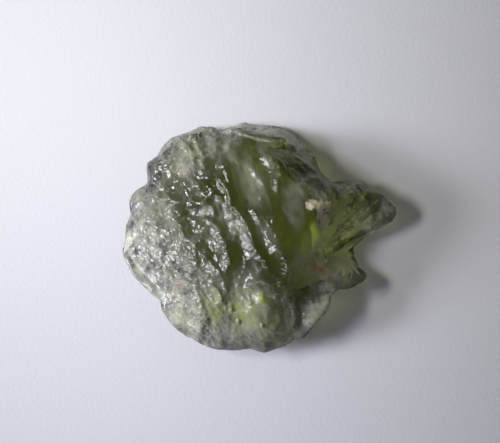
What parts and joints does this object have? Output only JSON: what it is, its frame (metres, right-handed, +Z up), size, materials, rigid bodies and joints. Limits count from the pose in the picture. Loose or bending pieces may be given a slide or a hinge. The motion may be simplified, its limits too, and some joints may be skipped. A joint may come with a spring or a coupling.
{
  "type": "moldavite",
  "caption": "Rough moldavite: see-through olive green natural glass with an etched, terraced surface, a long and a short spur, and a small flat spot to lie on.",
  "frame": {"origin": "on the surface that the stone lies on, below the middle of its bounding box", "axes": "+X towards the long spur's tip, +Z up, +Y across the stone"},
  "size_m": [0.03, 0.026, 0.0086],
  "materials": {
    "glass": "natural etched glass, clear olive green, glossy on its crests and duller in its hollows, with a little soil in the deepest ones"
  },
  "bodies": {
    "root": {"moldavite": "glass"}
  },
  "joints": []
}
